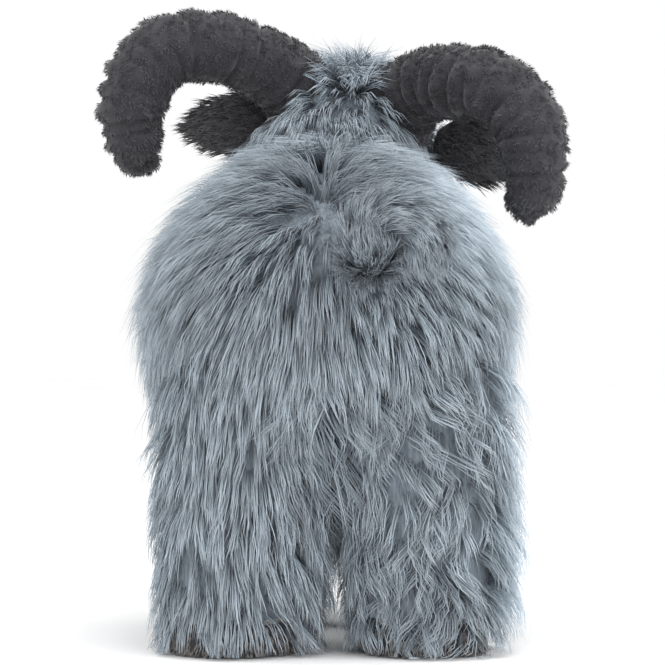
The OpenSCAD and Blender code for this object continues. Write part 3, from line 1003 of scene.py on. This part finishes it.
            hide = wrap(f"{side.word}_mane_hide", form, 24, 64, UNDERWOOL, keep=keep, thickness=HIDE_WALL)
            dress(hide, self.finishes.hide, "body", "long_wool", f"{side.word}_mane_panel")
            guides = guides_on(form, fleece, 300 + k, comb=comb, tone=self.comb.tone, keep=keep)
            wool = grow(f"{side.word}_mane_wool", guides, fleece, 310 + k)
            dress(wool, self.finishes.long_wool, "body", "long_wool")


@dataclass
class Neck:
    """The neck's stuffed core, which runs up and forward through the neck seam."""

    radius: float = 72 * MM + HIDE_LIFT
    start: float = -120 * MM
    end: float = 60 * MM

    def __post_init__(self) -> None:
        """Takes the seam's middle and the neck's direction from the head's joint."""
        joint = next(j for j in frame["joints"] if j["name"] == "head_turn")
        self.seam = np.array(joint["pos_m"], float)
        self.way = unit(np.array(joint["axis"], float))

    def form(self, start: float, end: float) -> Form:
        """Returns the neck's form between two distances from the seam, towards the head."""
        s = np.linspace(start, end, 24)[:, None]
        return Form(self.seam + s * self.way, np.full(24, self.radius))

    def covers(self, points: Array) -> Array:
        """Tells which points lie inside the neck."""
        rel = points - self.seam
        s = rel @ self.way
        gap = np.linalg.norm(rel - s[:, None] * self.way, axis=1)
        return (gap < self.radius) & (s > self.start) & (s < self.end)


# ---------------------------------------------------------------- head


@dataclass
class Head:
    """The head on its neck seam: turned to its right and leant over, with a coat up to the muzzle line."""

    turn: float = 13.0
    lean: float = 6.5
    nose_slope: float = 25.0
    skull: tuple[float, float, float] = (0.0, -52.0, 47.0)
    muzzle_start: float = 46 * MM
    outline: tuple = (
        (0, -70), (34, -64), (58, -40), (68, -5), (64, 30), (52, 62), (43, 92), (37, 118), (23, 134), (0, 139),
    )

    def __post_init__(self) -> None:
        """Sets the head's rest turn about the neck seam."""
        self.neck = Neck()
        turn = Matrix.Rotation(math.radians(-self.turn), 3, "Z") @ Matrix.Rotation(math.radians(-self.lean), 3, "Y")
        self.axes = np.array(turn)
        slope = math.radians(self.nose_slope)
        self.middle = self.to_row(np.array(self.skull))
        self.nose_way = self.axes @ np.array([0, -math.cos(slope), -math.sin(slope)])
        self.crown_way = self.axes @ np.array([0, -math.sin(slope), math.cos(slope)])
        self.side_way = self.axes @ np.array([1.0, 0, 0])

    def to_row(self, seam_mm: Array) -> Array:
        """Turns places measured from the neck seam in the upright head, in mm, into the model's frame."""
        return self.neck.seam + (np.asarray(seam_mm) * MM) @ self.axes.T

    def form(self, proud: float, low: float, high: float) -> Form:
        """Returns the head's round form along the nose line, between two distances from the skull's middle."""
        profile = curve_through(np.array(self.outline, float), 5) * MM
        h = profile[:, 1]
        grown = profile[:, 0] + proud
        h = (h - h.mean()) * (1 + 2 * proud / (h.max() - h.min())) + h.mean()
        stations = np.linspace(max(low, h.min()), min(high, h.max()), 48)
        radii = np.interp(stations, h, grown)
        radii[np.isclose(stations, h.min()) | np.isclose(stations, h.max())] = 0.5 * MM
        return Form(self.middle + stations[:, None] * self.nose_way, radii, side=self.side_way)

    def station(self, points: Array) -> Array:
        """Returns how far along the nose line each point lies."""
        return (points - self.middle) @ self.nose_way


@dataclass
class Horn:
    """A thick stuffed horn that rises, arches outwards and ends in a blunt tip, with ring folds in its skin."""

    side: Side
    head: Head
    pile: float = 3.5 * MM
    fold_gap: float = 12.5 * MM
    start: tuple = ((38.5, -48, 85, 39), (47, -37, 113, 39))
    left_bend: tuple = (
        (76, -8, 132, 36), (110, 28, 142, 35), (146, 53, 137, 35), (168, 63, 113, 35), (176, 64, 83, 34),
        (175, 58, 57, 30), (170, 51, 41, 26), (164, 46, 29, 18), (161, 44, 23, 8),
    )
    right_bend: tuple = (
        (77, -8, 130, 36), (113, 28, 133, 36), (151, 53, 128, 35), (179, 63, 105, 34), (191, 64, 76, 33),
        (192, 58, 51, 29), (188, 51, 36, 25), (183, 46, 24, 17), (180, 44, 19, 8),
    )

    def __post_init__(self) -> None:
        """Runs the horn's form along its middle line."""
        bend = self.left_bend if self.side is Side.LEFT else self.right_bend
        rows = curve_through(np.array(self.start + bend, float), 6)
        rows[:, 0] *= self.side.value
        centres = self.head.to_row(rows[:, :3])
        radii = np.maximum(rows[:, 3] * MM - self.pile, 1.0 * MM)
        self.form = Form(centres, radii, side=self.head.axes @ np.array([0.0, 1.0, 0.0]))
        rng = np.random.default_rng(500 + self.side.value)
        gaps = rng.uniform(0.65, 1.35, 40) * self.fold_gap
        self.folds = np.cumsum(gaps)
        self.folds = self.folds[self.folds < self.form.length - 8 * MM]
        self.depths = rng.uniform(0.35, 1.0, len(self.folds))
        self.slants = rng.uniform(-1, 1, (len(self.folds), 2)) * 5 * MM
        self.centres_at = rng.uniform(0, 2 * math.pi, len(self.folds))

    def crease(self, s: Array, angle: Array) -> Array:
        """Returns how deep in a ring fold each place lies, from 0 to 1."""
        deep = np.zeros(len(s))
        for place, depth, slant, middle in zip(self.folds, self.depths, self.slants, self.centres_at):
            at = place + slant[0] * np.cos(angle) + slant[1] * np.sin(angle + middle)
            partial = 0.6 + 0.5 * np.cos(angle - middle)
            deep = np.maximum(deep, depth * np.clip(partial, 0, 1) * np.exp(-(((s - at) / (3.8 * MM)) ** 2)))
        return deep

    def proud(self, s: Array, angle: Array) -> Array:
        """Returns how far the skin stands off the form: sunk in the folds and swollen between them."""
        points, _, _ = self.form.place(s, angle)
        return 1.2 * MM * ripple(points, 30 * MM, 61) - 6.4 * MM * self.crease(s, angle)

    def build(self, finishes: Finishes) -> None:
        """Makes the horn's skin and its pile.

        Args:
            finishes: The materials.
        """
        name = f"{self.side.word}_horn"
        skin = wrap(f"{name}_hide", self.form, 150, 48, proud=self.proud)
        dress(skin, finishes.dark_hide, "head", "sheared_pile", f"{name}_skin")
        fleece = Fleece(
            length=5.6 * MM, lift=0.88, fall=0.05, bend=0.4, clump=0.15, spread=2.6 * MM, width=1.1 * MM, steps=2,
            fibres=5, per_mm2=0.36, fuzz=0.5 * MM,
        )
        rng = np.random.default_rng(510 + self.side.value)
        s, angle = self.form.scatter(fleece.locks_on(self.form), rng)
        points, normals, way = self.form.place(s, angle, self.proud(s, angle))
        lean = self.crease(s + 2 * MM, angle) - self.crease(s - 2 * MM, angle)
        deep = self.crease(s, angle)
        wander = drift(points, 18 * MM, (62, 63, 64))
        normals = unit(normals + way * lean[:, None] * 0.9)
        # Painted shade: the pile's tone darkens in the ring folds, standing in for the shade in the creases
        guides = Guides(
            root=points, normal=normals, comb=way + wander * 0.9,
            tone=0.5 + 0.1 * ripple(points, 22 * MM, 65) - 0.62 * deep + rng.normal(0, 0.05, len(s)),
            length=fleece.length * rng.uniform(0.85, 1.1, len(s)) * (1 - 0.6 * deep),
            lift=np.clip(fleece.lift + rng.normal(0, 0.1, len(s)), 0.3, 0.98),
            wave=np.zeros(len(s)), phase=np.zeros(len(s)),
        )
        pile = grow(f"{name}_pile", guides, fleece, 520 + self.side.value)
        dress(pile, finishes.pile, "head", "sheared_pile")


@dataclass
class Ear:
    """A soft leaf-shaped ear: shearling outside and a short-pile lining."""

    side: Side
    head: Head
    length: float = 90 * MM
    half_height: float = 32 * MM
    droop: float = 8.0
    seam: tuple[float, float, float] = (74.0, -70.5, 83.0)

    def __post_init__(self) -> None:
        """Lays the ear's form from its seam to its tip."""
        rows = np.linspace(0, 1, 30)
        droop = math.radians(self.droop)
        way = np.array([math.cos(droop) * self.side.value, 0, -math.sin(droop)])
        chord = np.array([math.sin(droop) * self.side.value, 0, math.cos(droop)])
        start = np.array(self.seam) * np.array([self.side.value, 1, 1]) + np.array([0, 1, 0])
        cup = 5 * np.sin(math.pi * rows)[:, None] * np.array([0, 1, 0])
        centres = self.head.to_row(start + (rows * self.length / MM)[:, None] * way + cup)
        leaf = (0.32 + 0.68 * np.sin(math.pi * rows**0.8)) * np.sqrt(1 - np.minimum(rows, 0.995) ** 6)
        self.form = Form(
            centres, np.maximum(self.half_height * leaf - 3 * MM, 0.8 * MM),
            depth=np.maximum(4.5 * MM * np.sqrt(1 - rows**4), 0.8 * MM), side=self.head.axes @ chord,
        )

    def build(self, finishes: Finishes) -> None:
        """Makes the ear's skin, in place of its back and its lining, and its pile.

        Args:
            finishes: The materials.
        """
        name = f"{self.side.word}_ear"
        skin = wrap(f"{name}_skin", self.form, 40, 48)
        dress(skin, finishes.dark_hide, name, "sheared_pile", f"{name}_back", f"{name}_lining")
        fleece = Fleece(
            length=19 * MM, lift=0.5, fall=0.3, bend=0.6, clump=0.5, spread=2.6 * MM, width=1.4 * MM, steps=3,
            fibres=5, per_mm2=0.4, fuzz=2.0 * MM,
        )
        rng = np.random.default_rng(530 + self.side.value)
        s, angle = self.form.scatter(fleece.locks_on(self.form), rng)
        points, normals, way = self.form.place(s, angle)
        edge = np.abs(np.cos(angle))
        guides = Guides(
            root=points, normal=normals, comb=way + normals * edge[:, None] * 0.3,
            tone=0.14 + 0.1 * ripple(points, 25 * MM, 66) + rng.normal(0, 0.07, len(s)),
            length=fleece.length * rng.uniform(0.7, 1.15, len(s)) * (0.72 + 0.4 * edge**4),
            lift=np.clip(fleece.lift + rng.normal(0, 0.1, len(s)), 0.2, 0.95),
            wave=np.zeros(len(s)), phase=np.zeros(len(s)),
        )
        pile = grow(f"{name}_pile", guides, fleece, 540 + self.side.value)
        dress(pile, finishes.pile, name, "sheared_pile")


class Coat:
    """The long wool of the head: two cheeks and the tuft between the horns."""

    def __init__(self, head: Head, horns: list[Horn], ears: list[Ear], finishes: Finishes) -> None:
        """Keeps what the coat has to leave free."""
        self.head, self.horns, self.ears, self.finishes = head, horns, ears, finishes
        self.form = head.form(HIDE_LIFT, -1.0, head.muzzle_start)
        self.throat = head.neck.form(1.0 * MM, head.neck.end)

    def free(self, points: Array) -> Array:
        """Tells which points are not under a horn or an ear."""
        ok = np.ones(len(points), bool)
        for horn in self.horns:
            start = horn.form.centres[0]
            way = horn.form.way[0]
            rel = points - start
            gap = np.linalg.norm(rel - (rel @ way)[:, None] * way, axis=1)
            under = (gap < horn.form.across[0] - 2 * MM) & (rel @ way > -60 * MM)
            ok &= ~(under & (points[:, 2] > self.head.middle[2]))
        for ear in self.ears:
            ok &= np.linalg.norm(points - ear.form.centres[0], axis=1) > 14 * MM
        return ok

    def name_of(self, points: Array) -> Array:
        """Names the panel that each point of the coat lies on."""
        rel = points - self.head.middle
        across = rel @ self.head.side_way
        names = np.where(across > 0, "left_cheek", "right_cheek").astype(object)
        names[(np.abs(across) < 30 * MM) & (rel @ self.head.crown_way > 40 * MM)] = "poll"
        return names

    def build(self) -> None:
        """Makes the hides and the wool of the cheeks and the poll tuft."""
        head = self.head
        fleece = Fleece(length=48 * MM, lift=0.8, fall=0.7, clump=0.55, per_mm2=0.22, steps=3)
        seam = head.neck.seam
        skull_low = head.station(self.form.centres[:1])[0]

        def on_skull(points: Array) -> Array:
            """Tells which points of the skull are free above the neck seam."""
            above = (points - seam) @ head.neck.way > 1 * MM
            return above & self.free(points) & ~head.neck.covers(points)

        def on_poll(points: Array) -> Array:
            """Tells which points of the skull carry the tuft."""
            return on_skull(points) & (self.name_of(points) == "poll")

        def on_throat(points: Array) -> Array:
            """Tells which points of the neck's head side are outside the skull."""
            h = head.station(points)
            gap = np.linalg.norm(points - head.middle - h[:, None] * head.nose_way, axis=1)
            radius = np.interp(h, head.station(self.form.centres), self.form.across)
            return (gap > radius - 2 * MM) | (h < skull_low)

        def comb(points: Array, _: Array) -> Array:
            """Combs the head's wool down, out and a little back."""
            rel = (points - head.middle) @ head.side_way
            wander = drift(points, 50 * MM, (72, 73, 74))
            return -head.nose_way * 0.35 + DOWN + rel[:, None] / (60 * MM) * head.side_way * 0.9 + wander * 0.3

        def tone(points: Array) -> Array:
            """Gives the tone of the head's wool."""
            return 0.44 + 0.1 * ripple(points, 50 * MM, 71)

        skull = guides_on(self.form, fleece, 400, comb=comb, tone=tone, keep=on_skull)
        names = self.name_of(skull.root)
        crown = guides_on(self.form, replace(fleece, per_mm2=0.6), 403, comb=comb, tone=tone, keep=on_poll)
        skull = skull.chosen(names != "poll").joined(crown)
        names = self.name_of(skull.root)
        tuft = names == "poll"
        skull.comb[tuft] = head.crown_way * 0.2 - head.nose_way * 0.2 + np.random.default_rng(401).normal(
            0, 0.6, (int(tuft.sum()), 3))
        skull.lift[tuft] = 0.93
        skull.length[tuft] *= 1.3
        skull.tone[tuft] += 0.1
        throat = guides_on(self.throat, fleece, 402, comb=lambda p, way: DOWN - way * 0.6, tone=tone, keep=on_throat)
        for k, panel in enumerate(("left_cheek", "right_cheek", "poll")):
            node = "poll_tuft" if panel == "poll" else f"{panel}_panel"
            hide = wrap(
                f"{panel}_hide", self.form, 48, 72, UNDERWOOL, thickness=HIDE_WALL,
                keep=lambda c, panel=panel: (self.name_of(c) == panel) & on_skull(c),
            )
            dress(hide, self.finishes.hide, "head", "long_wool", node)
            wool = grow(f"{panel}_wool", skull.chosen(names == panel), fleece, 410 + k)
            dress(wool, self.finishes.long_wool, "head", "long_wool")
        wool = grow("throat_wool", throat, fleece, 420)
        dress(wool, self.finishes.long_wool, "head", "long_wool")
        hide = wrap("throat_hide", self.throat, 16, 64, UNDERWOOL, keep=on_throat, thickness=HIDE_WALL)
        dress(hide, self.finishes.hide, "head", "long_wool")


class Face:
    """The muzzle in sheared sheepskin, with a leather nose, a stitched mouth and round eyes."""

    def __init__(self, head: Head, finishes: Finishes) -> None:
        """Sets out the muzzle's form."""
        self.head, self.finishes = head, finishes
        self.form = head.form(3 * MM, head.muzzle_start - 12 * MM, 1.0)

    def build(self) -> None:
        """Makes the muzzle's skin and pile."""
        skin = wrap("muzzle_hide", self.form, 40, 56)
        dress(skin, self.finishes.dark_hide, "head", "sheared_pile", "muzzle_skin")
        fleece = Fleece(
            length=9 * MM, lift=0.65, fall=0.1, bend=0.4, clump=0.4, spread=2.4 * MM, width=1.6 * MM, steps=2,
            fibres=5, per_mm2=0.3, fuzz=0.8 * MM,
        )
        eyes = [box_of("left_eye"), box_of("right_eye")]
        nose_low, nose_high = box_of("nose_patch")

        def keep(points: Array) -> Array:
            """Tells which points of the muzzle are clear of the nose and the eyes."""
            ok = np.linalg.norm(points - (nose_low + nose_high) / 2, axis=1) > 17 * MM
            for low, high in eyes:
                ok &= np.linalg.norm(points - (low + high) / 2, axis=1) > 9 * MM
            return ok

        guides = guides_on(
            self.form, fleece, 600, comb=lambda p, way: -way + DOWN * 0.2,
            tone=lambda p: 0.45 + 0.12 * ripple(p, 22 * MM, 81), keep=keep,
        )
        pile = grow("muzzle_pile", guides, fleece, 610)
        dress(pile, self.finishes.pile, "head", "sheared_pile")


# ---------------------------------------------------------------- tail and hooves


@dataclass
class Tail:
    """A stubby tail that comes out of the rump, bends over to the right and hangs."""

    stem: float = 50 * MM
    bend: float = 21.5 * MM
    curl: float = 185.0
    lean: float = 20.0
    knee_radius: float = 16 * MM
    knee_locks: int = 330

    def __post_init__(self) -> None:
        """Runs the tail's form from its joint along the stem and around the bend."""
        root = joint_place("tail_lift")
        corner = root + np.array([0, self.stem, 0])
        lean = math.radians(self.lean)
        side = np.array([math.cos(lean), 0, -math.sin(lean)])
        rise = np.array([math.sin(lean), 0, math.cos(lean)])
        middle = corner - side * self.bend
        turns = np.radians(np.linspace(35, self.curl, 8))[:, None]
        arch = middle + self.bend * (np.cos(turns) * side + np.sin(turns) * rise)
        tip = arch[-1] + unit(arch[-1] - arch[-2]) * np.array([[9.0], [17.0]]) * MM
        bent = np.array([[0, -10, 0], [0, 2, 0]]) * MM + corner
        spots = np.vstack([root, root + [0, self.stem * 0.5, 0], bent, arch, tip])
        widths = np.array([11, 12, 14.5, 16, *np.linspace(16, 17, 8), 14.5, 3]) * MM
        rows = curve_through(np.column_stack([spots, widths]), 4)
        radii = rows[:, 3].copy()
        radii[-1] = 1 * MM
        self.form = Form(rows[:, :3], radii, side=np.array([0.3, -1.0, 0.2]))
        self.knee, self.side, self.rise = bent[1], side, rise

    def build(self, finishes: Finishes) -> None:
        """Makes the tail's skin and wool.

        Args:
            finishes: The materials.
        """
        skin = wrap("tail_hide", self.form, 60, 32)
        dress(skin, finishes.hide, "tail", "tail_wool", "tail_skin")
        fleece = Fleece(
            length=25 * MM, lift=0.6, fall=0.5, bend=0.8, clump=0.35, spread=3.4 * MM, width=1.0 * MM, steps=3,
            per_mm2=0.46,
        )
        stem = self.stem * 0.5
        rng = np.random.default_rng(700)
        s, angle = self.form.scatter(fleece.locks_on(self.form), rng)
        s, angle = s[s > stem], angle[s > stem]
        points, normals, way = self.form.place(s, angle)
        # The outside of the sharp bend gets locks of its own, set on a ball
        out = unit(rng.normal(0, 1, (self.knee_locks, 3)))
        out = out[(out[:, 1] > -0.1) & (out @ self.rise < 0.75)]
        points = np.vstack([points, self.knee + out * self.knee_radius])
        normals = np.vstack([normals, out])
        over = self.rise + 0.35 * np.array([0.0, 1.0, 0.0]) - 0.25 * self.side
        way = np.vstack([way, np.broadcast_to(over, out.shape)])
        s = np.concatenate([s, np.full(len(out), self.stem + 10 * MM)])
        size = len(s)
        guides = Guides(
            root=points, normal=normals, comb=way * 1.2 + DOWN * 0.3,
            tone=0.25 - 0.2 * smooth_steps(-s, -stem - 50 * MM, -stem - 20 * MM) + 0.1 * ripple(points, 30 * MM, 91)
            + rng.normal(0, 0.06, size),
            length=fleece.length * rng.uniform(0.75, 1.15, size),
            lift=np.clip(fleece.lift + rng.normal(0, 0.08, size), 0.2, 0.9),
            wave=np.full(size, 0.1), phase=rng.uniform(0, 6, size),
        )
        wool = grow("tail_wool", guides, fleece, 710)
        dress(wool, finishes.long_wool, "tail", "tail_wool")


class Hooves:
    """Short brown-grey pile on the four hoof caps."""

    def __init__(self, legs: list[Leg], finishes: Finishes) -> None:
        """Keeps the legs that the caps belong to."""
        self.legs, self.finishes = legs, finishes

    def build(self) -> None:
        """Makes the pile of each cap; the caps themselves keep their CAD shape."""
        fleece = Fleece(
            length=9 * MM, lift=0.55, fall=0.4, bend=0.6, clump=0.4, spread=2.4 * MM, width=1.6 * MM, steps=2,
            fibres=5, per_mm2=0.32, fuzz=0.8 * MM, floor=1.0 * MM,
        )
        for k, leg in enumerate(self.legs):
            low, high = box_of(f"{leg.name}_hoof_cap")
            z = np.linspace(low[2] + 3 * MM, high[2], 8)
            middle = (low + high) / 2
            centres = np.stack([0 * z + middle[0], 0 * z + middle[1], z], axis=1)
            form = Form(centres, np.full(8, (high[0] - low[0]) / 2 - 1.0 * MM))
            guides = guides_on(
                form, fleece, 800 + k, comb=lambda p, way: DOWN + 0 * way,
                tone=lambda p: 0.45 + 0.12 * ripple(p, 20 * MM, 95), keep=lambda p: np.ones(len(p), bool),
            )
            pile = grow(f"{leg.name}_hoof_pile", guides, fleece, 810 + k)
            dress(pile, self.finishes.hoof_pile, "body", "hoof_pile")


# ---------------------------------------------------------------- what stays from the CAD


def finish_cad_nodes(finishes: Finishes) -> None:
    """Gives every CAD node that stays its procedural material.

    Args:
        finishes: The materials.
    """
    kinds = {
        "stuffing": finishes.stuffing, "hoop": finishes.steel, "rod": finishes.steel, "wire": finishes.steel,
        "foot_board": finishes.board, "washers": finishes.washer, "hoof_cap": finishes.dark_hide,
        "nose_patch": finishes.nose, "mouth_stitch": finishes.thread, "eye": finishes.eye,
    }
    for name, node in frame["nodes"].items():
        material = next((m for word, m in kinds.items() if word in name), None)
        if material is not None:
            node.data.materials.clear()
            node.data.materials.append(material)


# ---------------------------------------------------------------- studio


@dataclass
class Studio:
    """A white floor in soft even light, seen from behind the ram at back height."""

    azimuth: float = 180.0
    elevation: float = 0.5
    distance: float = 2.65
    lens: float = 167.0
    target: tuple[float, float, float] = (-0.0023, 0.0, 0.2545)

    def build(self) -> None:
        """Makes the camera, the lights, the surroundings and the floor."""
        self.add_camera()
        self.add_lights()
        self.add_floor()
        bpy.context.scene.view_settings.view_transform = "Standard"

    def add_camera(self) -> None:
        """Stands the camera on its orbit and aims it."""
        az, el = math.radians(self.azimuth), math.radians(self.elevation)
        away = Vector((math.sin(az) * math.cos(el), -math.cos(az) * math.cos(el), math.sin(el)))
        data = bpy.data.cameras.new("camera")
        data.lens = self.lens
        data.sensor_width = 36.0
        camera = bpy.data.objects.new("camera", data)
        camera.location = Vector(self.target) + away * self.distance
        camera.rotation_euler = (-away).to_track_quat("-Z", "Y").to_euler()
        bpy.context.scene.collection.objects.link(camera)
        bpy.context.scene.camera = camera

    def add_lights(self) -> None:
        """Hangs large soft lights around the ram, over a white surround."""
        world = bpy.data.worlds.new("white_surround")
        world.use_nodes = True
        world.node_tree.nodes["Background"].inputs["Color"].default_value = (1.0, 1.0, 1.0, 1.0)
        world.node_tree.nodes["Background"].inputs["Strength"].default_value = 1.0
        bpy.context.scene.world = world
        for name, place, size, power in (
            ("top_light", (-0.3, 0.3, 2.2), 2.0, 20.0),
            ("left_light", (1.9, 1.2, 1.0), 1.6, 8.0),
            ("right_light", (-1.9, 1.0, 1.0), 1.6, 17.0),
            ("front_light", (-0.2, 2.9, 1.3), 2.2, 27.0),
        ):
            data = bpy.data.lights.new(name, "AREA")
            data.size = size
            data.energy = power
            light = bpy.data.objects.new(name, data)
            light.location = place
            light.rotation_euler = (Vector((0, 0, 0.25)) - Vector(place)).to_track_quat("-Z", "Y").to_euler()
            bpy.context.scene.collection.objects.link(light)

    def add_floor(self) -> None:
        """Lays the pale floor."""
        bpy.ops.object.select_all(action="DESELECT")
        bpy.ops.mesh.primitive_circle_add(vertices=96, radius=9.0, fill_type="NGON")
        floor = bpy.context.object
        floor.name = "floor"
        floor.data.materials.append(Mottled("white_paper", "#fdfdfd", "#ffffff", 400.0, 0.9, 0.0).make())


def main() -> None:
    """Builds the studio and the ram, sub-assembly by sub-assembly."""
    logging.basicConfig(level=logging.INFO, format="%(message)s")
    Studio().build()
    finishes = Finishes()
    finish_cad_nodes(finishes)
    body = Body(finishes)
    body.build()
    Hooves(body.legs, finishes).build()
    head = Head()
    horns = [Horn(side, head) for side in Side]
    ears = [Ear(side, head) for side in Side]
    for part in horns + ears:
        part.build(finishes)
    Coat(head, horns, ears, finishes).build()
    Face(head, finishes).build()
    Tail().build(finishes)


if __name__ == "__main__":
    main()
